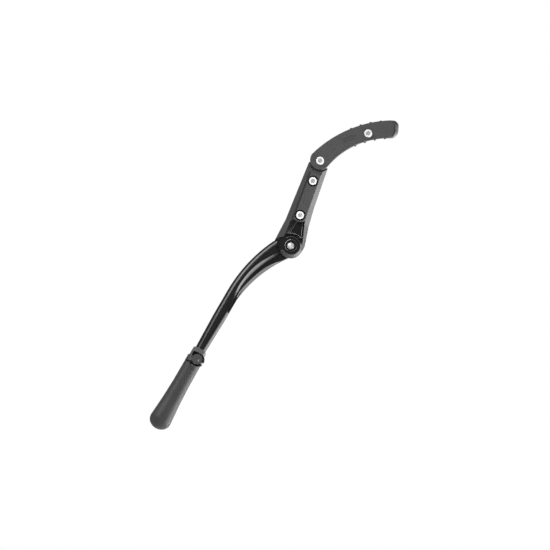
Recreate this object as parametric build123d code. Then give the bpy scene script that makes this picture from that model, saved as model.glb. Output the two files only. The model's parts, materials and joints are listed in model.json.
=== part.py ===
from build123d import *
import math
import os

# Rear-mounted bicycle kickstand with an adjustable foot, leg down.
# X runs along the chain stay towards the rear axle, Y towards the wheel, Z up.
# The origin is on the chain stay's centre line, midway between the two clamp bolts.
# Sizes are in millimetres. "Depth" counts from the origin towards the rider's side, so depth = -Y.

# Tubes that the clamps are drawn closed on
chain_stay_d = 22.0
seat_stay_d = 16.0

# Clearances
bolt_play = 0.3            # screw in a plain hole, on the radius
thread_play = 0.05         # screw in its nut, on the radius
pin_play = 0.05            # pivot pin in ears and bush, on the radius
seat_play = 0.05           # rubber, nuts and bush in their seats
head_play = 0.2            # screw head in the arm's counterbore, on the radius
face_play = 0.1            # washer or tongue beside a flat face
slide_play = 0.2           # bar in the boot and lock parts in the collar, each side
hub_gap = 2.8              # leg's shoulder round the hub, on the radius
stop_gap = 0.3             # leg's end face under the bracket's stop

# Socket head screws and nuts
screw_d = 6.0
head_d = 10.0
head_h = 6.0
socket_af = 5.0
socket_depth = 3.2
nut_af = 10.0
nut_h = 5.0
stay_bolt_len = 40.0
seat_screw_len = 38.0
arm_screw_len = 17.0
edge_break = 0.5
overcut = 1.0              # cutters start this far outside the solid

# Bracket, upper block
bolt_spacing = 43.0
jaw_gap = 8.0              # opening between bracket and rear jaw
bracket_depth = 18.5       # back face to plateau
plateau_rise = 1.8
counterbore_d = 12.8
counterbore_depth = 6.4
block_top_z = 41.5
bend_z = -32.0
block_left_top = -12.2
block_right_top = 11.3
block_left_low = -14.3
block_right_low = 14.4
waist_z = -8.0             # the right side widens below this height
block_right_waist = 12.5
right_flank_w = 5.5
right_flank_h = 6.7
left_flank_w = 6.0
left_flank_h = 7.7
left_flank_top_w = 3.3
left_flank_top_h = 4.2
plateau_left = -6.0
plateau_right_top = 7.0
plateau_right_low = 8.1
plateau_edge = 0.8
plateau_top_z = 31.0
plateau_low_z = -29.6      # lowest point of the plateau's curved end
plateau_corner_left_z = -28.6
plateau_corner_right_z = -25.7
groove_w = 2.1             # shadow groove beside the plateau
groove_depth = 2.6
ramp_low_z = 37.5          # the plateau slopes down to the arm's seat
ramp_drop = 4.0

# Arm joint and arm
arm_pivot_x = -0.5
arm_pivot_z = 47.0
lug_w = 20.6
lug_t = 7.7
lug_root = 4.0             # lug's overlap with the block
arm_washer_t = 0.8
arm_washer_d = 18.0
arm_heading = 68.4         # degrees above +X where the arm leaves its pivot
arm_bend_r = 112.3
arm_w = 20.4               # at the clamp
arm_root_out = 12.4        # edges from the centre line at the pivot, outside and inside of the bend
arm_root_in = 11.5
arm_heel_r = 11.1
arm_tip_half = 10.8
arm_t = 8.0
arm_edge = 0.6
arm_sweep = 52.6           # degrees of bend from pivot to tip
arm_screw_sweep = 34.0     # degrees of bend from pivot to clamp screw
arm_screw_inset = 1.6      # clamp screw lies this far inside the centre line
arm_tip_out_r = 7.0        # tip's corners, outside and inside of the bend
arm_tip_in_r = 9.0
arm_tip_bevel = 4.0
arm_tip_bevel_h = 4.5
tip_groove_w = 1.4         # shadow groove behind the tip's bevel
tip_groove_depth = 1.8
arm_head_sink = 4.0
arm_seat_gap = 2.2         # dark gap between arm end and bracket
oblong_l = 15.0            # plain oblong recess on the arm
oblong_w = 5.0
oblong_depth = 0.7
oblong_sweep = 22.5

# Seat stay clamp
seat_pad_wall = 2.2        # rubber under the stay
rib_h = 2.2                # ribs above the bottom of the grooves
groove_pitch = 12.0
rib_w = 2.4
rib_reach = 1.0            # rib ends past the arm's edges
pad_inset = 0.4
pad_from = -21.5           # along the arm from the clamp screw
pad_to = 29.5
seat_jaw_t = 8.0
seat_jaw_from = -33.0
seat_jaw_to = 34.5
seat_jaw_w = 18.6
heel_l = 7.0
heel_w = 15.0
clamp_corner = 6.0
seat_screw_hole_d = 7.0

# Chain stay clamp
pad_wall = 2.5
pad_span = 62.0            # half angle of the liner
pad_len = 22.0
pad_stud_d = 5.0
pad_stud_l = 3.0
stay_jaw_w = 22.0
stay_jaw_l = 62.0
stay_jaw_t = 13.5
stay_jaw_corner = 8.0
stay_jaw_chamfer = 2.5

# Hub
hub_x = 2.5
hub_y = -20.0
hub_z = -61.2
hub_tilt = 13.0            # pivot axis leans up by this many degrees
hub_r = 14.2
hub_face_r = 11.0
hub_face_edge = 0.4
ear_r = 12.3               # rear ear at the slot and at its back
ear_back_r = 11.0
full_from = 140.0          # between these two angles the hub keeps its full height, without a bevel
full_to = 230.0
hub_front = 10.5
hub_back = 9.0
hub_bevel_h = 4.2
neck_front = 7.5
neck_top = 34.0
corner_left = -20.5
corner_right = 15.4
corner_right_w = 8.0
corner_bevel = 3.6         # width of the right bevel at that corner
entry_x = -12.0            # the leg enters the slot below the line from here to the left edge
entry_w = 8.1
entry_lean = 22.0
pocket_floor = 4.0
pocket_base_r = 16.4
pocket_left_top = -9.9
pocket_left_low = -12.0
pocket_left_slope = 5.6    # the left wall leans this far over its height, more at the top
pocket_left_spread = 1.4
pocket_right_top = 5.0
pocket_right_low = 10.9
pocket_right_slope = 1.6
pocket_low = 10.0
pocket_fillet = 0.8
slot_roof = 13.0           # round above the tongue, flat only where the folded leg comes
spring_roof = 14.4
spring_pocket_w = 14.0
leaf_t = 0.8
leaf_gap = 0.15
leaf_end_gap = 0.5
pin_d = 8.0
pin_head_d = 8.8
pin_head_h = 2.4
pin_recess_d = 13.6
pin_recess_edge = 0.5
pin_recess_depth = 3.2
pin_tail = 2.6
pin_washer_d = 13.2
pin_washer_t = 0.8
clip_t = 1.0
clip_d = 12.0
clip_groove_depth = 0.6
clip_mouth = 4.8
thrust_t = 0.6
thrust_d = 18.0
bush_wall = 1.2

# Leg
tongue_t = 7.0
tongue_r = 12.4
flat_r = 10.75             # tongue's flats, from the pivot
fold_angle = 105.0
knee_w = 15.2              # bar's width from hub to shin
bar_w = 12.9               # bar's width in the boot
bar_t = 13.0
bar_front_r = 6.4          # bar's corners, nearly a half round in front
bar_back_r = 4.4
leg_start_x = -13.5
leg_start_w = -2.2
leg_lean = 35.4            # degrees from straight down at the hub
knee_r = 178.5
knee_turn = 26.05
shin_len = 174.9
shin_to_button = 92.9      # from the shin's start to the lock button
taper_from = 34.0          # the bar narrows between these distances down the shin
taper_to = 78.0
flange_front = 1.5
flange_back = -3.7
flange_bevel = 3.3         # outer edge, in front and at the back
flange_back_edge = 1.5
rib_flat = 5.6             # height of the flat that carries the rib's wall past the round bar
flange_top_x = 5.0         # outer edge of the flange by three points
flange_top_w = -10.0
flange_mid_x = -28.0
flange_mid_w = -56.0
flange_end_x = -41.0
flange_end_w = -101.0
channel_top_x = -12.8      # the bar is cut back to the flange right of a curve through three points
channel_top_w = -17.2
channel_mid_x = -34.3
channel_mid_w = -54.0
channel_end_x = -40.4
channel_end_w = -101.0
channel_lean_top = 4.7     # its wall leans this far over its height, at the first two points
channel_lean_mid = 4.2
bar_end_r = 2.5
notch_count = 7
notch_pitch = 7.5
notch_l = 5.0
notch_w = 8.4
notch_depth = 2.0

# Foot
boot_flange = 6.7          # the boot's rim round the yoke
boot_top_r = 9.7
boot_waist_r = 10.0
boot_flare_r = 11.0
boot_wide_r = 12.8
boot_heel_r = 11.2
boot_tread_r = 8.0
boot_flare_l = 47.0        # the boot widens over this length
boot_heel_l = 12.8         # widest section to the lowest point
boot_heel_mid = 7.0
boot_tread_h = 2.5
boot_lean = 0.5            # degrees between the boot's axis and the bar's
bore_spare = 4.0           # empty bore below the bar's end
sole_t = 6.0

# Height lock
button_shift = 3.0         # button's axis from the bar's, across the leg
button_travel = 2.2
yoke_t = 4.4
yoke_wall = 1.2
yoke_front_wall = 1.3
yoke_corner = 4.0
tooth_l = 3.6
tooth_w = 7.0
tooth_h = 1.7
collar_top = -14.2
collar_wall = 1.7          # round the bar
collar_corner = 5.0
collar_edge = 1.5
rim_wall = 1.5             # boot's rim round the yoke
cup_r = 8.9
cup_wall = 0.8
cup_floor_t = 1.1
cup_height = 3.6
cup_slit_w = 2.6
cup_slit_turn = -7.0
cup_spread = 4.0           # the cup widens by this much towards the hood's side
button_r = 6.2
button_step_r = 4.6
button_skirt = 2.2
button_wall = 1.2
button_top_t = 1.3
button_step_h = 1.0
dimple_r = 3.1
dimple_floor_r = 1.2
dimple_depth = 0.9
stem_d = 4.0
coil_d = 8.0
coil_wire = 0.7
coil_turns = 2.5

# Places that follow from the sizes above
far = 200.0
back_d = jaw_gap / 2
plateau_d = back_d + bracket_depth
crown_d = plateau_d - plateau_rise
lug_d = back_d + lug_t
arm_back_d = lug_d + arm_washer_t
arm_front_d = arm_back_d + arm_t
seat_axis_d = arm_back_d - seat_pad_wall - seat_stay_d / 2
seat_jaw_d = seat_axis_d - seat_stay_d / 2 - seat_pad_wall
trough_r = chain_stay_d / 2 + pad_wall
screw_r = screw_d / 2
hole_r = screw_r + bolt_play
slot_half = tongue_t / 2 + thrust_t + face_play
shoulder_r = hub_r + hub_gap
tilt = math.radians(hub_tilt)
front = Plane.XZ
hub = Plane(origin=(hub_x, hub_y, hub_z), x_dir=(1, 0, 0), z_dir=(0, -math.cos(tilt), math.sin(tilt)))


def cylinder_between(x, y, radius, low, high):
    return Pos(x, y, (low + high) / 2) * Cylinder(radius, high - low)


def beyond(p0, p1, p2, keep):
    """Block on the far side of the plane through three points, seen from the point to keep."""
    a, b, c, k = Vector(*p0), Vector(*p1), Vector(*p2), Vector(*keep)
    normal = (b - a).cross(c - a).normalized()
    if normal.dot(k - a) > 0:
        normal = normal * -1
    return Plane(origin=a, x_dir=b - a, z_dir=normal) * Pos(0, 0, far / 2) * Box(2 * far, 2 * far, far)


def hex_prism(across, low, high):
    return extrude(Pos(0, 0, low) * RegularPolygon(across / 2, 6, major_radius=False), high - low)


def to_hub(x, depth, z):
    """Hub coordinates of a point given by x, depth and z."""
    p = hub.to_local_coords(Vector(x, -depth, z))
    return (p.X, p.Y, p.Z)


# Screws and nuts stand on their seat: head towards +Z, shank towards -Z
def socket_screw(length):
    head = Pos(0, 0, head_h / 2) * Cylinder(head_d / 2, head_h)
    head = chamfer(head.edges().group_by(Axis.Z)[-1], edge_break)
    head -= hex_prism(socket_af, head_h - socket_depth, head_h)
    shank = Pos(0, 0, -length / 2) * Cylinder(screw_r, length)
    shank = chamfer(shank.edges().group_by(Axis.Z)[0], edge_break)
    return head + shank


def hex_nut():
    nut = hex_prism(nut_af, 0, nut_h)
    return nut - cylinder_between(0, 0, screw_r + thread_play, 0, nut_h)


def washer(outer_d, bore_r, thickness):
    return extrude(Circle(outer_d / 2) - Circle(bore_r), thickness)


# Arm geometry in the bracket's front view: points by degrees of bend from the pivot
def arm_centre():
    h = math.radians(arm_heading)
    return (arm_pivot_x + arm_bend_r * math.sin(h), arm_pivot_z - arm_bend_r * math.cos(h))


def arm_point(sweep, offset=0.0):
    a = math.radians(arm_heading + 90 - sweep)
    cx, cz = arm_centre()
    r = arm_bend_r + offset
    return (cx + r * math.cos(a), cz + r * math.sin(a))


def along_arm(distance):
    """Degrees of bend at a distance along the arm from the clamp screw."""
    return arm_screw_sweep + math.degrees(distance / arm_bend_r)


def arm_band(from_sweep, to_sweep, width, end_r):
    """Piece of the arm's curved outline, with rounded corners at its ends."""
    mid = (from_sweep + to_sweep) / 2
    half = width / 2
    outer = ThreePointArc(arm_point(from_sweep, half), arm_point(mid, half), arm_point(to_sweep, half))
    inner = ThreePointArc(arm_point(to_sweep, -half), arm_point(mid, -half), arm_point(from_sweep, -half))
    edges = [outer, Line(outer @ 1, inner @ 0), inner, Line(inner @ 1, outer @ 0)]
    face = make_face(edges)
    return fillet(face.vertices(), end_r)


def arm_face(tip_back, inset):
    """Arm outline, drawn in by an inset: round at the pivot, slim along the bend, tip drawn back."""
    tip = arm_sweep - math.degrees((tip_back + inset) / arm_bend_r)
    mid, half, tip_half = tip / 2, arm_w / 2 - inset, arm_tip_half - inset
    root_out, root_in, heel_r = arm_root_out - inset, arm_root_in - inset, arm_heel_r - inset
    h = math.radians(arm_heading)
    heel = (arm_pivot_x - heel_r * math.cos(h), arm_pivot_z - heel_r * math.sin(h))
    outer = ThreePointArc(arm_point(0, root_out), arm_point(mid, half), arm_point(tip, tip_half))
    inner = ThreePointArc(arm_point(tip, -tip_half), arm_point(mid, -half), arm_point(0, -root_in))
    edges = [outer, Line(outer @ 1, inner @ 0), inner, ThreePointArc(inner @ 1, heel, outer @ 0)]
    face = make_face(edges)
    for radius, offset in ((arm_tip_out_r, tip_half), (arm_tip_in_r, -tip_half)):
        corner = face.vertices().sort_by_distance((*arm_point(tip, offset), 0))[0]
        face = fillet(corner, radius - inset)
    return face


seat_screw_x, seat_screw_z = arm_point(arm_screw_sweep, -arm_screw_inset)
seat_heading = arm_heading - arm_screw_sweep


def across_arm(distance, depth):
    """Frame at a distance along the arm from the clamp screw: x along the arm, y along the seat stay."""
    h = math.radians(seat_heading)
    x = seat_screw_x + distance * math.cos(h)
    z = seat_screw_z + distance * math.sin(h)
    return Pos(x, z, depth) * Rot(0, 0, seat_heading)


# Bracket
def block_section(z, left, left_w, left_h, right):
    """Cross section of the block at a height: back, two flanks and crown."""
    left_d, right_d = crown_d - left_h, crown_d - right_flank_h
    corners = [(left, back_d), (left, left_d), (left + left_w, crown_d),
               (right - right_flank_w, crown_d), (right, right_d), (right, back_d)]
    level = Plane(origin=(0, z, 0), x_dir=(1, 0, 0), z_dir=(0, -1, 0))
    return level * make_face(Polyline(*corners, close=True))


def block():
    top = (block_left_top, left_flank_top_w, left_flank_top_h)
    low = (block_left_low, left_flank_w, left_flank_h)
    part = (block_top_z - waist_z) / (block_top_z - bend_z)
    waist = [a + part * (b - a) for a, b in zip(top, low)]
    sections = [block_section(block_top_z, *top, block_right_top),
                block_section(waist_z, *waist, block_right_waist),
                block_section(bend_z, *low, block_right_low)]
    return loft(sections, ruled=True)


def neck():
    """Lower part of the bracket in hub coordinates, down to the leg's stop."""
    left = to_hub(block_left_low, crown_d - left_flank_h, bend_z)
    right = to_hub(block_right_low, crown_d - right_flank_h, bend_z)
    lean_left = (corner_left - left[0]) / (stop_gap - left[1])
    lean_right = (corner_right - right[0]) / (corner_right_w - right[1])
    corners = [(left[0] + lean_left * (neck_top - left[1]), neck_top), (corner_left, stop_gap),
               (hub_r, stop_gap), (corner_right, corner_right_w),
               (right[0] + lean_right * (neck_top - right[1]), neck_top)]
    body = extrude(Pos(0, 0, -hub_back) * make_face(Polyline(*corners, close=True)), hub_back + neck_front)
    low_left_h = neck_front - left_flank_h / left_flank_w * (pocket_left_low - corner_left)
    body -= beyond(left, (corner_left, stop_gap, low_left_h),
                   (left[0] + left_flank_w, left[1], neck_front), (0, 0, -hub_back))
    low_right_h = neck_front - right_flank_h / right_flank_w * corner_bevel
    body -= beyond(right, (corner_right, corner_right_w, low_right_h),
                   (right[0] - right_flank_w, right[1], neck_front), (0, 0, -hub_back))
    return body - entry_cut()


def entry_cut():
    """Opens the slot to the front left of the hub, where the leg comes out."""
    reach = 2 * hub_r
    low = entry_w - reach * math.tan(math.radians(entry_lean))
    corners = [(entry_x, entry_w), (entry_x - reach, low), (entry_x - reach, -reach), (entry_x, -reach)]
    return extrude(Pos(0, 0, -slot_half) * make_face(Polyline(*corners, close=True)), 2 * hub_front)


def hub_cone(base_r, base_h):
    """Bevelled front of the hub, from a wider ring up to its flat face."""
    height = hub_front - base_h
    return Pos(0, 0, base_h + height / 2) * Cone(base_r, hub_face_r, height)


def hub_disc():
    """Hub with a bevel round its face, except towards the leg."""
    bevel_h = hub_front - hub_bevel_h
    reach = 4 * hub_r
    turns = [math.radians(a) for a in (full_from, full_to)]
    ends = [(reach * math.cos(a), reach * math.sin(a)) for a in turns]
    wedge = extrude(make_face(Polyline((0, 0), *ends, close=True)), 2 * hub_front)
    bevel = cylinder_between(0, 0, reach, bevel_h, hub_front) - hub_cone(hub_r, bevel_h) - wedge
    disc = cylinder_between(0, 0, hub_r, -slot_half, hub_front) - bevel
    disc = chamfer(disc.faces().sort_by(Axis.Z)[-1].edges(), hub_face_edge)
    ear_t = hub_back - slot_half
    return disc + Pos(0, 0, -slot_half - ear_t / 2) * Cone(ear_back_r, ear_r, ear_t)


def pocket_cut():
    """Triangular pocket between plateau and hub, in hub coordinates, with leaning side walls."""
    rim = [(pocket_left_top, neck_top), (pocket_left_low, pocket_low),
           (pocket_right_low, pocket_low), (pocket_right_top, neck_top)]
    inset = [pocket_left_slope + pocket_left_spread, pocket_left_slope - pocket_left_spread,
             -pocket_right_slope, -pocket_right_slope]
    floor = [(x + move, w) for (x, w), move in zip(rim, inset)]
    top = make_face(Polyline(*rim, close=True))
    bottom = make_face(Polyline(*floor, close=True))
    tool = loft([Pos(0, 0, pocket_floor) * bottom, Pos(0, 0, neck_front) * top], ruled=True)
    tool += extrude(Pos(0, 0, neck_front) * top, hub_front)
    tool -= hub_cone(pocket_base_r, pocket_floor)
    return fillet(tool.faces().sort_by(Axis.Z)[0].edges(), pocket_fillet)


def plateau_face():
    low_left = (plateau_left, plateau_corner_left_z)
    low_right = (plateau_right_low, plateau_corner_right_z)
    low_mid = ((plateau_left + plateau_right_low) / 2, plateau_low_z)
    end = ThreePointArc(low_left, low_mid, low_right)
    side = Polyline(low_right, (plateau_right_top, block_top_z), (plateau_left, block_top_z), low_left)
    return make_face([end, *side.edges()])


def groove_cut():
    """Shadow groove along the plateau's left side."""
    length = plateau_top_z - plateau_corner_left_z
    return Pos(plateau_left - groove_w / 2, plateau_top_z - length / 2, crown_d) * Box(
        groove_w, length, 2 * groove_depth)


def bracket_body():
    body = front * block() + hub * neck()
    body -= hub * pocket_cut()
    body -= front * groove_cut()
    plateau = extrude(Pos(0, 0, lug_d) * plateau_face(), plateau_d - lug_d)
    body += front * chamfer(plateau.faces().sort_by(Axis.Z)[-1].edges(), plateau_edge)
    body += hub * hub_disc()

    lug = Pos(arm_pivot_x, arm_pivot_z) * Circle(lug_w / 2)
    lug_h = arm_pivot_z - block_top_z + lug_root
    lug += Pos(arm_pivot_x, arm_pivot_z - lug_h / 2) * Rectangle(lug_w, lug_h)
    body += front * extrude(Pos(0, 0, back_d) * lug, lug_t)
    body -= front * beyond((0, plateau_top_z, plateau_d), (1, plateau_top_z, plateau_d),
                           (0, ramp_low_z, plateau_d - ramp_drop), (0, 0, 0))
    body -= front * cylinder_between(arm_pivot_x, arm_pivot_z, arm_heel_r + arm_seat_gap, lug_d, far)
    body -= front * cylinder_between(arm_pivot_x, arm_pivot_z, hole_r, 0, far)
    nut_seat = hex_prism(nut_af + 2 * seat_play, back_d - overcut, back_d + nut_h)
    body -= front * Pos(arm_pivot_x, arm_pivot_z) * nut_seat

    for side in (1, -1):
        z = side * bolt_spacing / 2
        body -= front * cylinder_between(0, z, hole_r, 0, plateau_d)
        body -= front * cylinder_between(0, z, counterbore_d / 2, plateau_d - counterbore_depth, far)
    body -= Rot(0, 90, 0) * Cylinder(trough_r + seat_play, far)
    body -= front * cylinder_between(0, 0, pad_stud_d / 2 + seat_play, 0, trough_r + pad_stud_l + seat_play)

    slot_low = -2 * hub_r
    slot = cylinder_between(0, 0, slot_roof, -slot_half, slot_half)
    for side, roof in ((1, slot_roof), (-1, stop_gap)):
        slot += Pos(side * far / 2, (slot_low + roof) / 2, 0) * Box(far, roof - slot_low, 2 * slot_half)
    slot += Pos(0, spring_roof / 2, 0) * Box(spring_pocket_w, spring_roof, 2 * slot_half)
    body -= hub * slot
    body -= hub * cylinder_between(0, 0, pin_d / 2 + pin_play, -2 * hub_back, hub_front)
    recess_r = pin_recess_d / 2
    body -= hub * cylinder_between(0, 0, recess_r, hub_front - pin_recess_depth, 2 * hub_front)
    body -= hub * Pos(0, 0, hub_front - pin_recess_edge / 2) * Cone(
        recess_r, recess_r + pin_recess_edge, pin_recess_edge)
    return body


# Chain stay clamp
def stay_pad(side):
    """Rubber liner of the trough; side -1 is the bracket's, +1 the rear jaw's."""
    reach = 2 * trough_r
    edge = reach * math.tan(math.radians(pad_span))
    wedge = make_face(Polyline((0, 0), (side * reach, edge), (side * reach, -edge), close=True))
    section = (Circle(trough_r) - Circle(chain_stay_d / 2)) & wedge
    pad = extrude(Plane.YZ * section, pad_len / 2, both=True)
    stud = front * cylinder_between(0, 0, pad_stud_d / 2, trough_r - pad_wall / 2, trough_r + pad_stud_l)
    if side > 0:
        stud = mirror(stud, Plane.XZ)
    return pad + stud


def rear_stay_jaw():
    outline = RectangleRounded(stay_jaw_w, stay_jaw_l, stay_jaw_corner)
    jaw = extrude(Pos(0, 0, -back_d) * outline, -stay_jaw_t)
    jaw = chamfer(jaw.edges().group_by(Axis.Z)[0], stay_jaw_chamfer)
    for side in (1, -1):
        z = side * bolt_spacing / 2
        jaw -= cylinder_between(0, z, hole_r, -far, 0)
        jaw -= Pos(0, z) * hex_prism(nut_af + 2 * seat_play, -far, stay_nut_d())
    jaw -= cylinder_between(0, 0, pad_stud_d / 2 + seat_play, -trough_r - pad_stud_l - seat_play, 0)
    return front * jaw - Rot(0, 90, 0) * Cylinder(trough_r + seat_play, far)


def stay_nut_d():
    """Depth of the face that the nuts pull on, behind the stay."""
    return -(back_d + stay_jaw_t - nut_h - edge_break)


def stay_bolt(side):
    seat = Pos(0, side * bolt_spacing / 2, plateau_d - counterbore_depth)
    return front * seat * socket_screw(stay_bolt_len)


def stay_nut(side):
    return front * Pos(0, side * bolt_spacing / 2, stay_nut_d() - nut_h - seat_play) * hex_nut()


# Seat stay arm and clamp
def seat_arm():
    flank = arm_t - arm_tip_bevel_h
    arm = extrude(Pos(0, 0, arm_back_d) * arm_face(0, 0), flank)
    arm += loft([Pos(0, 0, arm_back_d + flank) * arm_face(0, 0),
                 Pos(0, 0, arm_front_d - arm_edge) * arm_face(arm_tip_bevel, 0),
                 Pos(0, 0, arm_front_d) * arm_face(arm_tip_bevel, arm_edge)], ruled=True)
    arm -= tip_groove()
    for x, z in ((arm_pivot_x, arm_pivot_z), (seat_screw_x, seat_screw_z)):
        arm -= cylinder_between(x, z, head_d / 2 + head_play, arm_front_d - arm_head_sink, far)
    arm -= cylinder_between(arm_pivot_x, arm_pivot_z, screw_r + pin_play, 0, far)
    arm -= cylinder_between(seat_screw_x, seat_screw_z, hole_r, 0, far)
    x, z = arm_point(oblong_sweep)
    place = Pos(x, z, arm_front_d - oblong_depth) * Rot(0, 0, arm_heading - oblong_sweep)
    arm -= extrude(place * SlotOverall(oblong_l, oblong_w), far)
    return front * arm


def tip_groove():
    """Cutter for the groove, between the bevel's edge and the same curve further back."""
    low = arm_front_d - tip_groove_depth
    grown = tip_groove_w
    past = extrude(Pos(0, 0, low) * arm_face(arm_tip_bevel - arm_edge, 0), far)
    kept = extrude(Pos(0, 0, low) * arm_face(arm_tip_bevel + 2 * grown, -grown), far)
    return past - kept


def ribbed_pad(seat_d, sign, width, rib_span):
    """Rubber pad on a clamp face at seat_d, rising by sign, with grooves that fit the seat stay."""
    height = seat_pad_wall + rib_h
    outline = arm_band(along_arm(pad_from), along_arm(pad_to), width, clamp_corner)
    low, high = sorted((seat_d, seat_d + sign * height))
    pad = extrude(Pos(0, 0, low) * outline, height)
    steps = range(math.ceil(pad_from / groove_pitch - 0.5), math.floor(pad_to / groove_pitch - 0.5) + 1)
    for n in steps:
        rib = across_arm((n + 0.5) * groove_pitch, (low + high) / 2)
        offset = arm_screw_inset - (((n + 0.5) * groove_pitch) ** 2) / (2 * arm_bend_r)
        pad += rib * Pos(0, offset, 0) * Box(rib_w, rib_span, height)
    for n in range(steps[0], steps[-1] + 2):
        pad -= across_arm(n * groove_pitch, seat_axis_d) * Rot(90, 0, 0) * Cylinder(seat_stay_d / 2, far)
    pad -= cylinder_between(seat_screw_x, seat_screw_z, seat_screw_hole_d / 2, -far, far)
    return front * pad


def seat_jaw():
    outline = arm_band(along_arm(seat_jaw_from), along_arm(seat_jaw_to), seat_jaw_w, clamp_corner)
    jaw = extrude(Pos(0, 0, seat_jaw_d - seat_jaw_t) * outline, seat_jaw_t)
    jaw = chamfer(jaw.edges().group_by(Axis.Z)[0], edge_break * 2)
    heel_h = arm_back_d - stop_gap - seat_jaw_d
    heel_at = along_arm(seat_jaw_from + heel_l)
    x, z = arm_point(heel_at)
    place = Pos(x, z, seat_jaw_d + heel_h / 2) * Rot(0, 0, arm_heading - heel_at)
    jaw += place * Box(heel_l, heel_w, heel_h)
    jaw -= cylinder_between(seat_screw_x, seat_screw_z, hole_r, -far, far)
    jaw -= Pos(seat_screw_x, seat_screw_z) * hex_prism(nut_af + 2 * seat_play, -far, seat_nut_d())
    return front * jaw


def seat_nut_d():
    return seat_jaw_d - seat_jaw_t + nut_h + edge_break


def seat_clamp_screw():
    seat = Pos(seat_screw_x, seat_screw_z, arm_front_d - arm_head_sink)
    return front * seat * socket_screw(seat_screw_len)


def seat_clamp_nut():
    return front * Pos(seat_screw_x, seat_screw_z, seat_nut_d() - nut_h - seat_play) * hex_nut()


def arm_pivot_screw():
    return front * Pos(arm_pivot_x, arm_pivot_z, arm_front_d - arm_head_sink) * socket_screw(arm_screw_len)


def arm_pivot_nut():
    return front * Pos(arm_pivot_x, arm_pivot_z, back_d) * hex_nut()


def arm_friction_washer():
    ring = washer(arm_washer_d, hole_r, arm_washer_t - face_play)
    return front * Pos(arm_pivot_x, arm_pivot_z, lug_d) * ring


# Hub hardware, in hub coordinates
def pivot_pin():
    seat = hub_front - pin_recess_depth + pin_washer_t
    tail = -hub_back - pin_tail
    pin = cylinder_between(0, 0, pin_d / 2, tail, seat)
    cap_r = ((pin_head_d / 2) ** 2 + pin_head_h ** 2) / (2 * pin_head_h)
    dome = Pos(0, 0, seat + pin_head_h - cap_r) * Sphere(cap_r)
    pin += dome & cylinder_between(0, 0, pin_head_d / 2, seat, seat + pin_head_h)
    groove_low = -hub_back - face_play - clip_t - face_play
    ring = cylinder_between(0, 0, pin_d, groove_low, -hub_back)
    ring -= cylinder_between(0, 0, pin_d / 2 - clip_groove_depth, groove_low, -hub_back)
    pin -= ring
    return hub * pin


def pin_head_washer():
    ring = washer(pin_washer_d, pin_d / 2 + pin_play, pin_washer_t)
    return hub * Pos(0, 0, hub_front - pin_recess_depth) * ring


def pin_circlip():
    """Open retaining ring in the pin's groove."""
    ring = washer(clip_d, pin_d / 2 - clip_groove_depth + seat_play, clip_t)
    mouth = Pos(0, -clip_d / 2, 0) * Box(clip_mouth, clip_d, far)
    return hub * Pos(0, 0, -hub_back - face_play - clip_t) * (ring - mouth)


def thrust_washer(side):
    ring = washer(thrust_d, pin_d / 2 + pin_play, thrust_t)
    low = tongue_t / 2 + face_play / 2 if side > 0 else -tongue_t / 2 - face_play / 2 - thrust_t
    return hub * Pos(0, 0, low) * ring


def detent_spring():
    """Bowed leaf between the slot's roof and the tongue's flat."""
    half = spring_pocket_w / 2 - leaf_end_gap
    crown = flat_r + leaf_gap
    rise = spring_roof - leaf_t - crown
    bow_r = (half ** 2 + rise ** 2) / (2 * rise)
    centre = crown + bow_r
    ring = Pos(0, centre) * (Circle(bow_r) - Circle(bow_r - leaf_t))
    leaf = ring & (Pos(0, spring_roof / 2) * Rectangle(2 * half, spring_roof - 2 * leaf_gap))
    width = tongue_t - 2 * face_play
    return hub * extrude(Pos(0, 0, -width / 2) * leaf, width)


# Leg, in hub coordinates
def leg_path():
    a = math.radians(leg_lean)
    knee = JernArc((leg_start_x, leg_start_w), (-math.sin(a), -math.cos(a)), knee_r, knee_turn)
    return knee, Line(knee @ 1, (knee @ 1) + (knee % 1) * shin_len)


knee_arc, shin_line = leg_path()
down = shin_line % 1
button_at = (shin_line @ 0) + down * shin_to_button
bar_end = shin_len - shin_to_button
# Foot frame: x across the leg, y towards the rider's side, z down the shin
foot_local = Plane(origin=button_at, x_dir=(-down.Y, down.X, 0), z_dir=down)
foot = Plane(hub.location * foot_local.location)


def bar_section(width, extra=0.0):
    """Cross section of the bar, its front towards +Y, grown by an extra on every side."""
    corners = Rectangle(width + 2 * extra, bar_t + 2 * extra).vertices().sort_by(Axis.Y)
    face = fillet(corners[2:], bar_front_r + extra)
    back = face.vertices().group_by(Axis.Y)[0]
    return fillet(back, bar_back_r + extra)


def leg_bar():
    """Bar: even round the knee, narrowing down the shin, straight in the boot."""
    start = Plane(origin=knee_arc @ 0, x_dir=(0, 0, 1), z_dir=knee_arc % 0)
    bar = sweep(start * Rot(0, 0, -90) * bar_section(knee_w), path=knee_arc)
    wide = Pos(0, 0, taper_from - shin_to_button) * bar_section(knee_w)
    slim = Pos(0, 0, taper_to - shin_to_button) * bar_section(bar_w)
    shin = extrude(Pos(0, 0, -shin_to_button) * bar_section(knee_w), taper_from)
    shin += loft([wide, slim], ruled=True)
    rod = extrude(slim, shin_len - taper_to)
    shin += fillet(rod.faces().sort_by(Axis.Z)[-1].edges(), bar_end_r)
    return bar + foot_local * shin


def flange_face():
    """Plan of the flange, from the bar's centre line to its bowed outer edge."""
    top, low = (flange_top_x, flange_top_w), (flange_end_x, flange_end_w)
    bow = ThreePointArc(low, (flange_mid_x, flange_mid_w), top)
    return make_face([knee_arc, Line(knee_arc @ 1, low), bow, Line(top, knee_arc @ 0)])


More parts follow.
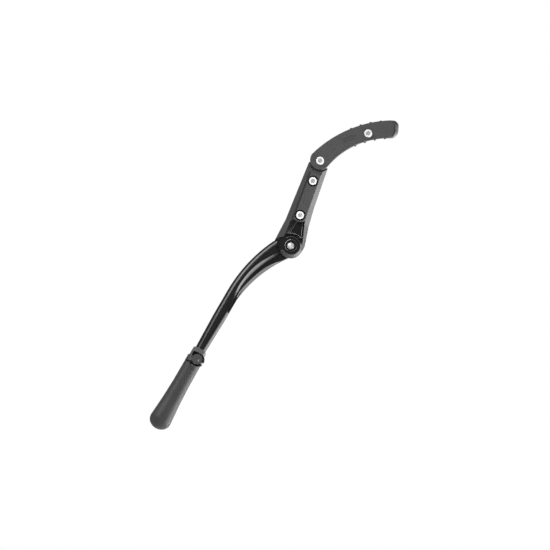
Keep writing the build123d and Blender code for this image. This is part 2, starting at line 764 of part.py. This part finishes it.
def leg_flange():
    plate = extrude(Pos(0, 0, flange_back) * flange_face(), flange_front - flange_back)
    front_edge = plate.edges().sort_by_distance((flange_mid_x, flange_mid_w, flange_front))[0]
    plate = chamfer(front_edge, flange_bevel)
    back_edge = plate.edges().sort_by_distance((flange_mid_x, flange_mid_w, flange_back))[0]
    return fillet(back_edge, flange_back_edge)


def channel_face(lean_top, lean_mid):
    """Plan of the channel that leaves a round rib on the leg, its curve moved left by the leans."""
    top = (channel_top_x - lean_top, channel_top_w)
    mid = (channel_mid_x - lean_mid, channel_mid_w)
    end = (channel_end_x, channel_end_w)
    curve = ThreePointArc(end, mid, top)
    side = Polyline(top, (0, 0), (knee_r, 0), (knee_r, channel_end_w), end)
    return make_face([curve, *side.edges()])


def leg_channel():
    crest = bar_t / 2 + overcut
    return loft([Pos(0, 0, flange_front) * channel_face(0, 0),
                 Pos(0, 0, crest) * channel_face(channel_lean_top, channel_lean_mid)], ruled=True)


def leg():
    whole = leg_bar() + extrude(flange_face(), rib_flat)
    whole = whole - leg_channel() + leg_flange()
    whole -= Pos(0, far / 2, 0) * Box(far, far, far)
    slab = Box(4 * far, 4 * far, tongue_t)
    tongue = cylinder_between(0, 0, tongue_r, -tongue_t / 2, tongue_t / 2)
    for turn in (90, 90 - fold_angle):
        tongue -= Rot(0, 0, turn) * Pos(flat_r + tongue_r / 2, 0, 0) * Box(tongue_r, 4 * tongue_r, far)
    near = cylinder_between(0, 0, shoulder_r, -far, far)
    body = (whole - near) + ((whole & near) & slab) + tongue
    body -= cylinder_between(0, 0, pin_d / 2 + bush_wall, -far, far)
    body = hub * body
    for n in range(notch_count):
        body -= foot * Pos(0, notch_depth - bar_t, n * notch_pitch) * Box(notch_w, bar_t, notch_l)
    return body


def hub_bush():
    ring = washer(pin_d + 2 * bush_wall, pin_d / 2 + pin_play, tongue_t)
    return hub * Pos(0, 0, -tongue_t / 2) * ring


# Foot, in its own frame
def boot_profile():
    """Half outline of the boot's round body, from its top to its lowest point."""
    wide_z = boot_bottom - boot_heel_l
    flare_z = wide_z - boot_flare_l
    tread_z = boot_bottom - boot_tread_h
    flare_mid = (boot_flare_r, wide_z - boot_flare_l / 2)
    side = Polyline((boot_top_r, boot_top), (boot_waist_r, flare_z), flare_mid, (boot_wide_r, wide_z))
    heel = ThreePointArc(side @ 1, (boot_heel_r, wide_z + boot_heel_mid), (boot_tread_r, tread_z))
    crown_r = (boot_tread_r ** 2 + boot_tread_h ** 2) / (2 * boot_tread_h)
    crown_mid = boot_bottom - crown_r + math.sqrt(crown_r ** 2 - boot_tread_r ** 2 / 4)
    tread = ThreePointArc(heel @ 1, (boot_tread_r / 2, crown_mid), (0, boot_bottom))
    axis = Polyline(tread @ 1, (0, boot_top), side @ 0)
    return make_face([*side.edges(), heel, tread, *axis.edges()])


def foot_boot():
    boot = Rot(0, boot_lean, 0) * revolve(Plane.XZ * boot_profile(), Axis.Z)
    boot -= Pos(0, 0, boot_top - far / 2) * Box(far, far, far)
    boot += extrude(Pos(0, 0, boot_top) * cavity_outline(rim_wall), boot_flange)
    boot -= towards_button(cylinder_between(0, 0, cup_r + seat_play, cavity_front - seat_play, far))
    boot -= extrude(Pos(0, 0, boot_top - overcut) * cavity_outline(), yoke_room - boot_top + overcut)
    boot -= stem_hole()
    bore = Pos(0, 0, boot_top - overcut) * bar_section(bar_w, slide_play)
    return foot * (boot - extrude(bore, boot_bore_end - boot_top + overcut))


# Height lock, in the foot's frame
yoke_half_x = bar_w / 2 + slide_play + yoke_wall
yoke_back = -bar_t / 2 - slide_play - yoke_wall
yoke_open_y = bar_t / 2 + button_travel + slide_play
yoke_front = yoke_open_y + yoke_front_wall
cavity_half_x = yoke_half_x + slide_play
cavity_back = yoke_back - button_travel - slide_play
cavity_front = yoke_front + slide_play
cavity_corner = yoke_corner + slide_play
cup_floor = cavity_front + cup_floor_t
skirt_low = cup_floor + button_travel + slide_play
skirt_high = skirt_low + button_skirt
yoke_room = yoke_t / 2 + slide_play
boot_top = -yoke_room
collar_half_x = bar_w / 2 + slide_play + collar_wall
boot_bore_end = bar_end + bore_spare
boot_bottom = boot_bore_end + sole_t


def slab_between(half_x, low_y, high_y, corner):
    """Outline across the leg between two depths, with round corners."""
    return Pos(0, (low_y + high_y) / 2) * RectangleRounded(2 * half_x, high_y - low_y, corner)


def cavity_outline(wall=0.0):
    """Room for the yoke and its travel, or the boot's rim that is a wall wider."""
    high = cup_floor if wall else cavity_front
    return slab_between(cavity_half_x + wall, cavity_back - wall, high, cavity_corner + wall)


def collar_outline():
    back = -bar_t / 2 - slide_play - collar_wall
    return slab_between(collar_half_x, back, cup_floor, collar_corner)


def towards_button(shape):
    """Turns a shape drawn along +Z to point along the button's axis."""
    return Pos(button_shift, 0, 0) * Rot(-90, 0, 0) * shape


def stem_hole():
    return towards_button(cylinder_between(0, 0, stem_d / 2 + slide_play, yoke_open_y, cup_floor))


def lock_hood(rim):
    """Sloped hood from the collar's top edge out to the cup's rim."""
    half = collar_half_x - collar_corner / 2
    side = Polyline((cup_floor, collar_top + collar_edge), (rim, -cup_r), (rim, boot_top),
                    (cavity_front, boot_top), (cavity_front, collar_top + collar_edge), close=True)
    return extrude(Plane.YZ * make_face(side), half, both=True)


def lock_collar():
    collar = extrude(Pos(0, 0, collar_top) * collar_outline(), boot_top - collar_top)
    collar = chamfer(collar.edges().group_by(Axis.Z)[0], collar_edge)
    rim = cup_floor + cup_height
    collar += towards_button(cylinder_between(0, 0, cup_r, cavity_front, rim)) + lock_hood(rim)
    for x in (0, -cup_spread):
        collar -= towards_button(cylinder_between(x, 0, cup_r - cup_wall, cup_floor, far))
    collar -= stem_hole()
    slit = Pos(cup_r, 0, rim - cup_height / 2) * Box(2 * (cup_r - button_r), cup_slit_w, 2 * cup_height)
    collar -= towards_button(Rot(0, 0, cup_slit_turn) * slit)
    bore = Pos(0, 0, collar_top - overcut) * bar_section(bar_w, slide_play)
    return foot * (collar - extrude(bore, far))


def lock_button():
    cap = cylinder_between(0, 0, button_r, skirt_low, skirt_high + button_top_t)
    cap -= cylinder_between(0, 0, button_r - button_wall, skirt_low, skirt_high)
    top = skirt_high + button_top_t
    cap += cylinder_between(0, 0, button_step_r, top, top + button_step_h)
    cap -= Pos(0, 0, top + button_step_h - dimple_depth / 2) * Cone(dimple_floor_r, dimple_r, dimple_depth)
    cap += cylinder_between(0, 0, stem_d / 2, yoke_front, skirt_high)
    return foot * towards_button(cap)


def lock_yoke():
    frame = slab_between(yoke_half_x, yoke_back, yoke_front, yoke_corner)
    open_back = yoke_back + yoke_wall
    frame -= slab_between(yoke_half_x - yoke_wall, open_back, yoke_open_y, yoke_corner - yoke_wall)
    yoke = extrude(Pos(0, 0, -yoke_t / 2) * frame, yoke_t)
    yoke += Pos(0, open_back + tooth_h / 2, 0) * Box(tooth_w, tooth_h, tooth_l)
    return foot * yoke


def button_spring():
    height = skirt_high - cup_floor - 2 * coil_wire
    helix = Helix(height / coil_turns, height, coil_d / 2)
    start = Plane(origin=helix @ 0, x_dir=(1, 0, 0), z_dir=helix % 0)
    coil = sweep(start * Rectangle(coil_wire, coil_wire), path=helix)
    return foot * towards_button(Pos(0, 0, cup_floor + coil_wire) * coil)


nodes = {
    "bracket_body": bracket_body(),
    "front_stay_pad": stay_pad(-1),
    "rear_stay_jaw": rear_stay_jaw(),
    "rear_stay_pad": stay_pad(1),
    "upper_stay_bolt": stay_bolt(1),
    "lower_stay_bolt": stay_bolt(-1),
    "upper_stay_nut": stay_nut(1),
    "lower_stay_nut": stay_nut(-1),
    "seat_arm": seat_arm(),
    "arm_pad": ribbed_pad(arm_back_d, -1, arm_w - 2 * pad_inset, arm_w + 2 * rib_reach),
    "seat_jaw": seat_jaw(),
    "seat_jaw_pad": ribbed_pad(seat_jaw_d, 1, seat_jaw_w - 2 * pad_inset, seat_jaw_w - 2 * pad_inset),
    "seat_clamp_screw": seat_clamp_screw(),
    "seat_clamp_nut": seat_clamp_nut(),
    "arm_pivot_screw": arm_pivot_screw(),
    "arm_pivot_nut": arm_pivot_nut(),
    "arm_friction_washer": arm_friction_washer(),
    "leg": leg(),
    "hub_bush": hub_bush(),
    "pivot_pin": pivot_pin(),
    "pin_head_washer": pin_head_washer(),
    "pin_circlip": pin_circlip(),
    "front_thrust_washer": thrust_washer(1),
    "rear_thrust_washer": thrust_washer(-1),
    "detent_spring": detent_spring(),
    "foot_boot": foot_boot(),
    "lock_collar": lock_collar(),
    "lock_button": lock_button(),
    "lock_yoke": lock_yoke(),
    "button_spring": button_spring(),
}

os.makedirs("parts", exist_ok=True)
for name, solid in nodes.items():
    export_step(solid, f"parts/{name}.step")
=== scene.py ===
import json
import math

import bpy
from mathutils import Matrix, Vector


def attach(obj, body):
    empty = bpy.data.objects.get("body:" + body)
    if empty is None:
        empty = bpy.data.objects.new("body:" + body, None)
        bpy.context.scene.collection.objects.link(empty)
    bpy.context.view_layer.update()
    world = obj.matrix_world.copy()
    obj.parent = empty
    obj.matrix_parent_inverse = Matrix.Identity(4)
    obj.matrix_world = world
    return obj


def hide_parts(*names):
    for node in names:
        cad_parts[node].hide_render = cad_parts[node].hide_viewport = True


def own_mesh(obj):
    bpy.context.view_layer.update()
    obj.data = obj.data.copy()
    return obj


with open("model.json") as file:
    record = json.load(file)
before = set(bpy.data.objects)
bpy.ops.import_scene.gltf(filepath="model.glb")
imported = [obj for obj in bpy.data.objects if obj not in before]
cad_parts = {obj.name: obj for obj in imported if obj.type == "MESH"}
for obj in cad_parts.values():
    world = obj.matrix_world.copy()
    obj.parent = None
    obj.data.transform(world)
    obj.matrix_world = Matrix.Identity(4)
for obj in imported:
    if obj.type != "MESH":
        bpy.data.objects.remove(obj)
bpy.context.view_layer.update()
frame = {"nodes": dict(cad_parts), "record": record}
nodes = frame["nodes"]


# Materials
class Build:
    """Node tree of one material, with the few nodes that the finishes share."""

    stops = 0.3, 0.7  # a noise is spread over this part of its range

    def __init__(self, name):
        self.mat = bpy.data.materials.new(name)
        self.mat.use_nodes = True
        self.tree = self.mat.node_tree
        self.shader = self.tree.nodes["Principled BSDF"]
        self.where = self.tree.nodes.new("ShaderNodeTexCoord").outputs["Object"]

    def set(self, **values):
        for key, value in values.items():
            self.shader.inputs[key.replace("_", " ")].default_value = value
        return self

    def link(self, a, b):
        self.tree.links.new(a, b)

    def noise(self, scale, detail=2.0, rough=0.5, stretch=None):
        n = self.tree.nodes.new("ShaderNodeTexNoise")
        n.inputs["Scale"].default_value = scale
        n.inputs["Detail"].default_value = detail
        n.inputs["Roughness"].default_value = rough
        where = self.where
        if stretch:
            m = self.tree.nodes.new("ShaderNodeMapping")
            m.inputs["Scale"].default_value = stretch
            self.link(where, m.inputs["Vector"])
            where = m.outputs["Vector"]
        self.link(where, n.inputs["Vector"])
        return n.outputs["Fac"]

    def ramp(self, fac, low, high, socket):
        """Drives a socket of the shader from one colour to another."""
        r = self.tree.nodes.new("ShaderNodeValToRGB")
        for e, place, value in zip(r.color_ramp.elements, self.stops, (low, high)):
            e.position = place
            e.color = (*value, 1.0)
        self.link(fac, r.inputs["Fac"])
        self.link(r.outputs["Color"], self.shader.inputs[socket])

    def mottle(self, fac, base, dark, light):
        low, high = (tuple(min(1.0, v * share) for v in base) for share in (dark, light))
        self.ramp(fac, low, high, "Base Color")

    def rough(self, fac, low, high):
        self.ramp(fac, (low,) * 3, (high,) * 3, "Roughness")

    def bump(self, *layers):
        """Layers of (height source, strength, distance in metres)."""
        last = None
        for fac, strength, distance in layers:
            b = self.tree.nodes.new("ShaderNodeBump")
            b.inputs["Strength"].default_value = strength
            b.inputs["Distance"].default_value = distance
            self.link(fac, b.inputs["Height"])
            if last:
                self.link(last, b.inputs["Normal"])
            last = b.outputs["Normal"]
        self.link(last, self.shader.inputs["Normal"])


def powder_coat(name, base, rough):
    """Fine-grained satin paint on a casting."""
    b = Build(name).set(Metallic=0.0)
    grain, cloud = b.noise(2600, 3.0), b.noise(60, 3.0)
    b.mottle(cloud, base, 0.92, 1.08)
    b.rough(grain, rough - 0.05, rough + 0.06)
    b.bump((grain, 0.05, 0.0001), (b.noise(700), 0.04, 0.0001))
    return b.mat


def gloss_paint(name, base, rough, gloss=0.5):
    """Smooth lacquer with a faint orange peel."""
    b = Build(name).set(Metallic=0.0, Specular_IOR_Level=gloss)
    peel, cloud = b.noise(420), b.noise(45)
    b.mottle(cloud, base, 0.85, 1.15)
    b.rough(peel, rough - 0.01, rough + 0.02)
    b.bump((peel, 0.0015, 0.0002))
    return b.mat


def steel(name, base, rough, metal=1.0):
    """Turned or plated steel with fine tool marks."""
    b = Build(name).set(Metallic=metal)
    marks, cloud = b.noise(1800, stretch=(1, 8, 1)), b.noise(150)
    b.mottle(cloud, base, 0.93, 1.04)
    b.rough(marks, rough - 0.05, rough + 0.08)
    b.bump((marks, 0.03, 0.0001))
    return b.mat


def moulded(name, base, rough, gloss=0.3):
    """Moulded plastic or rubber with an eroded grain."""
    b = Build(name).set(Metallic=0.0, Specular_IOR_Level=gloss)
    grain, cloud = b.noise(1500, 4.0, 0.6), b.noise(50)
    b.mottle(cloud, base, 0.92, 1.08)
    b.rough(grain, rough - 0.05, rough + 0.06)
    b.bump((grain, 0.06, 0.00015))
    return b.mat


# Each finish: its kind, base colour and roughness, then its gloss or share of metal
recipes = {
    "cast_grey": (powder_coat, (0.040, 0.040, 0.0412), 0.46),
    "cast_black": (gloss_paint, (0.006, 0.006, 0.0065), 0.16),
    # light grey painted on the bracket's fillets and lit edges as highlights
    "worn_edge": (powder_coat, (0.30, 0.30, 0.305), 0.35),
    "leg_black": (gloss_paint, (0.005, 0.005, 0.0054), 0.27, 0.36),
    "rubber_black": (moulded, (0.018, 0.018, 0.018), 0.72),
    "screw_steel": (steel, (0.70, 0.70, 0.71), 0.38),
    "socket_steel": (steel, (0.45, 0.45, 0.46), 0.44),
    "side_steel": (steel, (0.26, 0.26, 0.27), 0.50),
    "nut_steel": (steel, (0.60, 0.60, 0.61), 0.34),
    "washer_steel": (steel, (0.04, 0.04, 0.042), 0.30),
    "bush_bronze": (steel, (0.58, 0.38, 0.18), 0.36),
    "pin_steel": (steel, (0.66, 0.66, 0.67), 0.26, 0.4),
    "spring_steel": (steel, (0.42, 0.42, 0.43), 0.32),
    "boot_black": (moulded, (0.045, 0.045, 0.046), 0.46, 0.2),
    "collar_grey": (moulded, (0.100, 0.100, 0.101), 0.42),
    # matt black painted into holes, counterbores and the cup round the button as shade
    "cup_black": (moulded, (0.006, 0.006, 0.006), 0.55, 0.1),
    "button_grey": (moulded, (0.060, 0.060, 0.061), 0.36),
    "yoke_steel": (steel, (0.50, 0.50, 0.51), 0.36),
}
finishes = {name: make(name, *values) for name, (make, *values) in recipes.items()}
slot_of = {s["node"]: s["material_slot"] for s in frame["record"]["subparts"]}
for name, obj in nodes.items():
    obj.data.materials.clear()
    obj.data.materials.append(finishes[slot_of[name]])


def paint(node, extra, pick):
    """Gives a node more finishes, and each face the one whose number pick returns."""
    mesh = nodes[node].data
    for name in extra:
        mesh.materials.append(finishes[name])
    for face in mesh.polygons:
        face.material_index = pick(face)


def between(value, limits):
    return limits[0] < value < limits[1]


# The hub's frame, in metres: across, up and out along the tilted pivot
hub_x, hub_y, hub_z, tilt = 0.0025, -0.020, -0.0612, math.radians(13)
hub = Vector((hub_x, hub_y, hub_z))


def in_hub(v):
    y, z = v.y - hub_y, v.z - hub_z
    up = y * math.sin(tilt) + z * math.cos(tilt)
    out = z * math.sin(tilt) - y * math.cos(tilt)
    return v.x - hub_x, up, out


def from_hub(x, w, h):
    y = w * math.sin(tilt) - h * math.cos(tilt)
    return Vector((x + hub_x, y + hub_y, w * math.cos(tilt) + h * math.sin(tilt) + hub_z))


# The bracket's hub face, pocket and slot are glossy black and the rest of it satin grey. Its
# counterbores are painted matt black as shade, and some of its edges and fillets are painted lighter
# as highlights.
# A slope is 1 on a face square to the pivot and 0 on one along it.
grey, black, painted_highlight, painted_shade = range(4)
near = 2e-4
face_h, face_slope = 0.0105, 0.99
face_edge_r, face_edge_h, face_edge_slope = (0.010, 0.0112), 0.0099, 0.98
recess_r, recess_edge_slope = 0.0078, (0.5, 0.9)
highlight_turn = 110, 250
pocket_from, pocket_run = 0.010, 0.024
pocket_left, left_taper = -0.0120, 0.0021
pocket_right, right_taper = 0.0109, 0.0059
pocket_w, pocket_h, pocket_z = 0.004, 0.0038, -0.0297
floor_edge_h, floor_ring_r = 0.005, 0.0175
ring_slope, edge_slope, level_slope = 0.7, 0.9, 0.985
side_r, side_turn, side_h = (0.0138, 0.0145), (138, 232), -0.0045
square_slope, along_slope = 0.98, 0.1
slot_h, slot_w, entry_x = 0.0043, 0.0145, -0.0119
entry_w, entry_h = 0.009, -0.0044
bolt_z, counterbore_r, counterbore_y = 0.0215, 0.00655, (-0.0224, -0.0155)


def bracket_zone(face):
    centre = face.center
    x, w, h = in_hub(centre)
    slope = in_hub(face.normal + hub)[2]
    r, turn = math.hypot(x, w), math.degrees(math.atan2(w, x)) % 360
    on_face = slope > face_slope and abs(h - face_h) < near
    face_glint = between(r, face_edge_r) and h > face_edge_h and slope < face_edge_slope
    in_recess = r < recess_r and h > 0
    recess_glint = in_recess and between(slope, recess_edge_slope)
    left = pocket_left + (w - pocket_from) * (left_taper / pocket_run) - near
    right = pocket_right - (w - pocket_from) * (right_taper / pocket_run) + near
    in_pocket = left < x < right and w > pocket_w and h > pocket_h and centre.z < pocket_z
    least = edge_slope if r > floor_ring_r else ring_slope
    painted_floor_glint = in_pocket and h < floor_edge_h and least < slope < level_slope
    bare_side = between(r, side_r) and between(turn, side_turn) and h > side_h
    flat_wall = abs(slope) > square_slope or abs(slope) < along_slope
    in_slot = abs(h) < slot_h and w < slot_w and flat_wall and x > entry_x
    entry = x < entry_x and w < entry_w and h > entry_h and flat_wall
    from_bolt = min(math.hypot(centre.x, centre.z - side * bolt_z) for side in (1, -1))
    # The walls and floors of the counterbores are painted matt black as shade
    if from_bolt < counterbore_r and between(centre.y, counterbore_y):
        return painted_shade
    # The fillets round the pocket floor and the lit side of the recess's edge are painted light grey
    # as highlights; the rest of the recess's edge and the hub face's edge chamfer stay grey as
    # painted highlight lines
    if painted_floor_glint or recess_glint and between(turn, highlight_turn):
        return painted_highlight
    if face_glint or recess_glint:
        return grey
    is_black = on_face or in_recess or in_pocket or bare_side or in_slot or entry
    return black if is_black else grey


paint("bracket_body", ("cast_black", "worn_edge", "cup_black"), bracket_zone)

# The hexagon sockets and the sides of the screws are duller than their turned heads
head, socket, shank = range(3)
socket_r, socket_depth = 0.0029, (1e-4, 0.0035)
side_from_r, top_slope = 0.0045, 0.9


def dress_screw(name):
    """Finishes of one screw; returns its axis as x and z."""
    spots = [v.co for v in nodes[name].data.vertices]
    top = min(v.y for v in spots)
    axis_x = (min(v.x for v in spots) + max(v.x for v in spots)) / 2
    axis_z = (min(v.z for v in spots) + max(v.z for v in spots)) / 2

    def zone(face):
        r = math.hypot(face.center.x - axis_x, face.center.z - axis_z)
        if r < socket_r and between(face.center.y - top, socket_depth):
            return socket
        return shank if r > side_from_r and abs(face.normal.y) < top_slope else head

    paint(name, ("socket_steel", "side_steel"), zone)
    return axis_x, axis_z


for name in ("upper_stay_bolt", "lower_stay_bolt"):
    dress_screw(name)
arm_holes = [dress_screw(name) for name in ("arm_pivot_screw", "seat_clamp_screw")]

# The walls of the arm's two screw holes are painted matt black as shade
arm_hole_r = 0.0056


def arm_hole_shade(face):
    c = face.center
    return int(min(math.hypot(c.x - x, c.z - z) for x, z in arm_holes) < arm_hole_r)


paint("seat_arm", ("cup_black",), arm_hole_shade)

# The inside of the cup round the button is painted black as shade, but for its lit left side
foot_x, foot_w, lean = -0.0592, -0.16825, math.radians(9.35)
cup_wells, cup_middle = (0.003, -0.001), 0.001
cup_r, cup_floor_h, cup_lit_turn = 0.00815, 0.0113, (152, 222)


def cup_shade_zone(face):
    x, w, h = in_hub(face.center)
    across = (x - foot_x) * math.cos(lean) - (w - foot_w) * math.sin(lean)
    along = -(x - foot_x) * math.sin(lean) - (w - foot_w) * math.cos(lean)
    from_axis = min(math.hypot(across - well, along) for well in cup_wells)
    turn = math.degrees(math.atan2(-along, across - cup_middle)) % 360
    return int(from_axis < cup_r and h > cup_floor_h and not between(turn, cup_lit_turn))


paint("lock_collar", ("cup_black",), cup_shade_zone)


# Pieces that stand for packed ones
def stand_in(name, mesh, node, body):
    """A piece that takes a node's place and finish."""
    piece = bpy.data.objects.new(name, mesh)
    bpy.context.collection.objects.link(piece)
    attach(piece, body)
    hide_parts(node)
    return piece


def circle_through(a, b, c):
    """Centre and radius of the circle through three points of a plane."""
    a, b, c = Vector(a), Vector(b), Vector(c)
    u, v = b - a, c - a
    area = 2 * (u.x * v.y - u.y * v.x)
    from_a = Vector((v.y * u.dot(u) - u.y * v.dot(v), u.x * v.dot(v) - v.x * u.dot(u))) / area
    return a + from_a, from_a.length


def smooth(t):
    t = max(0.0, min(1.0, t))
    return t * t * (3 - 2 * t)


# The rim of the leg's flange is an arc in the hub's frame, from rim_start to rim_end. Its bevel
# fades in over fade_top_run below fade_top, and out over fade_end_run above fade_end.
rim_start, rim_mid, rim_end = (0.0050, -0.0100), (-0.0280, -0.0560), (-0.0410, -0.1010)
rim_top, rim_low, rim_inset = 0.0015, -0.0018, 0.0033
fade_top, fade_top_run = -0.0121, 0.026
fade_end, fade_end_run = -0.0835, 0.009
on_rim, rim_play = 2e-5, 1e-5


def bevelled_leg():
    """The leg with the full bevel on its flange's rim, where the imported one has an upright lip."""
    mesh = nodes["leg"].data.copy()
    centre, radius = circle_through(rim_start, rim_mid, rim_end)
    normals = [corner.vector.copy() for corner in mesh.corner_normals]
    slopes = {}
    for v in mesh.vertices:
        x, w, h = in_hub(v.co)
        away = Vector((x, w)) - centre
        if abs(away.length - radius) < on_rim and -rim_play < h < rim_top + rim_play:
            faded_in = smooth((fade_top - w) / fade_top_run)
            share = faded_in * smooth((w - fade_end) / fade_end_run)
            inset = share * rim_inset * (h - rim_low) / (rim_top - rim_low)
            away.normalize()
            x, w = centre + away * (radius + inset)
            v.co = from_hub(x, w, h)
            slope = from_hub(-away.x, -away.y, share) - from_hub(0, 0, 0)
            slopes[v.index] = slope.normalized()
    for face in mesh.polygons:
        if all(i in slopes for i in face.vertices):
            for corner in face.loop_indices:
                normals[corner] = slopes[mesh.loops[corner].vertex_index]
    mesh.normals_split_custom_set(normals)
    stand_in("leg_forging", mesh, "leg", "leg")


def button_coil():
    """The coil behind the button, as a copy of the imported one."""
    mesh = nodes["button_spring"].data.copy()
    coil = stand_in("button_coil", mesh, "button_spring", "foot")
    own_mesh(coil)


bevelled_leg()
button_coil()


# Stage: a pale floor below the stand, which hangs as if clamped to its bicycle
def pale_floor(name, colour, rough, glow):
    """Matt floor that also glows white for the camera alone, and so keeps a soft shadow."""
    m = bpy.data.materials.new(name)
    m.use_nodes = True
    tree = m.node_tree
    matt_floor = tree.nodes["Principled BSDF"]
    matt_floor.inputs["Base Color"].default_value = (*colour, 1)
    matt_floor.inputs["Roughness"].default_value = rough
    white = tree.nodes.new("ShaderNodeEmission")
    share = tree.nodes.new("ShaderNodeMath")
    share.operation = "MULTIPLY"
    share.inputs[1].default_value = glow
    both = tree.nodes.new("ShaderNodeMixShader")
    path = tree.nodes.new("ShaderNodeLightPath")
    tree.links.new(path.outputs["Is Camera Ray"], share.inputs[0])
    tree.links.new(share.outputs["Value"], both.inputs["Fac"])
    tree.links.new(matt_floor.outputs["BSDF"], both.inputs[1])
    tree.links.new(white.outputs["Emission"], both.inputs[2])
    tree.links.new(both.outputs["Shader"], tree.nodes["Material Output"].inputs["Surface"])
    return m


floor_z, floor_r, floor_sides = -0.75, 2.6, 96
bpy.ops.mesh.primitive_circle_add(
    vertices=floor_sides, radius=floor_r, fill_type="NGON", location=(0, 0, floor_z))
floor = bpy.context.object
floor.name = "floor"
floor.data.materials.append(pale_floor("floor_white", (0.9, 0.9, 0.9), rough=0.9, glow=0.8))


def studio(dim, wall_from, wall_full):
    """World that is white for the camera and dim for the rest, but for a white wall behind the
    part in reflections."""
    world = bpy.data.worlds.new("studio")
    world.use_nodes = True
    tree = world.node_tree
    tree.nodes.clear()

    def new(kind, **values):
        node = tree.nodes.new("ShaderNode" + kind)
        for key, value in values.items():
            node.inputs[key.replace("_", " ")].default_value = value
        return node

    def combine(operation, a, b):
        node = tree.nodes.new("ShaderNodeMath")
        node.operation = operation
        tree.links.new(a, node.inputs[0])
        tree.links.new(b, node.inputs[1])
        return node.outputs["Value"]

    white = new("Background", Color=(1, 1, 1, 1), Strength=1.0)
    room = new("Background", Color=(1, 1, 1, 1), Strength=dim)
    split = new("SeparateXYZ")
    wall = new("MapRange", From_Min=wall_from, From_Max=wall_full)
    wall.interpolation_type = "SMOOTHSTEP"
    path = new("LightPath").outputs
    tree.links.new(new("TexCoord").outputs["Generated"], split.inputs["Vector"])
    tree.links.new(split.outputs["Y"], wall.inputs["Value"])
    mirrored = combine("MAXIMUM", path["Is Glossy Ray"], path["Is Transmission Ray"])
    on_wall = combine("MULTIPLY", mirrored, wall.outputs["Result"])
    mix, out = new("MixShader"), new("OutputWorld")
    tree.links.new(combine("MAXIMUM", path["Is Camera Ray"], on_wall), mix.inputs["Fac"])
    tree.links.new(room.outputs["Background"], mix.inputs[1])
    tree.links.new(white.outputs["Background"], mix.inputs[2])
    tree.links.new(mix.outputs["Shader"], out.inputs["Surface"])
    return world


bpy.context.scene.world = studio(dim=0.25, wall_from=0.75, wall_full=0.95)

# Lights: degrees to the right of the camera's axis and above it, distance, size and radiance
lights = {
    "right_box": (95, -18, 1.0, (1.25, 1.06), 7.5),
    "right_top_box": (105, 25, 1.0, (0.6, 0.5), 4.0),
    "left_box": (-57, 36, 1.0, (0.56, 0.52), 11.5),
    "front_card": (0, 0, 1.6, (0.7, 0.7), 3.0),
}
middle = Vector((-0.01, -0.02, -0.10))


def softbox(name, turn, rise, distance, size, radiance):
    a, e = math.radians(turn), math.radians(rise)
    way = Vector((math.sin(a) * math.cos(e), -math.cos(a) * math.cos(e), math.sin(e)))
    lamp = bpy.data.lights.new(name, "AREA")
    lamp.shape = "RECTANGLE"
    lamp.size, lamp.size_y = size
    lamp.energy = radiance * math.pi * size[0] * size[1]
    obj = bpy.data.objects.new(name, lamp)
    bpy.context.collection.objects.link(obj)
    obj.location = middle + distance * way
    obj.rotation_euler = (middle - obj.location).to_track_quat("-Z", "Y").to_euler()
    obj.visible_camera = False


for name, values in lights.items():
    softbox(name, *values)

# Camera: straight on, rolled so that the stand leans as it does in the photograph
mm_per_px, photo_px, roll = 1.18, 550, math.radians(20.5)
sensor_mm, distance = 36.0, 5.0
aim = Vector((-0.00305, -0.018, -0.09794))
right = Vector((math.cos(roll), 0, math.sin(roll)))
up = Vector((-math.sin(roll), 0, math.cos(roll)))
back = right.cross(up)
cam_data = bpy.data.cameras.new("camera")
cam = bpy.data.objects.new("camera", cam_data)
bpy.context.collection.objects.link(cam)
cam_data.sensor_width = sensor_mm
cam_data.lens = sensor_mm * distance / (mm_per_px * photo_px / 1000)
cam_data.clip_start, cam_data.clip_end = 0.05, 100
turned = Matrix((right, up, back)).transposed().to_4x4()
cam.matrix_world = Matrix.Translation(aim + back * distance) @ turned
bpy.context.scene.camera = cam
bpy.context.scene.view_settings.view_transform = "Standard"
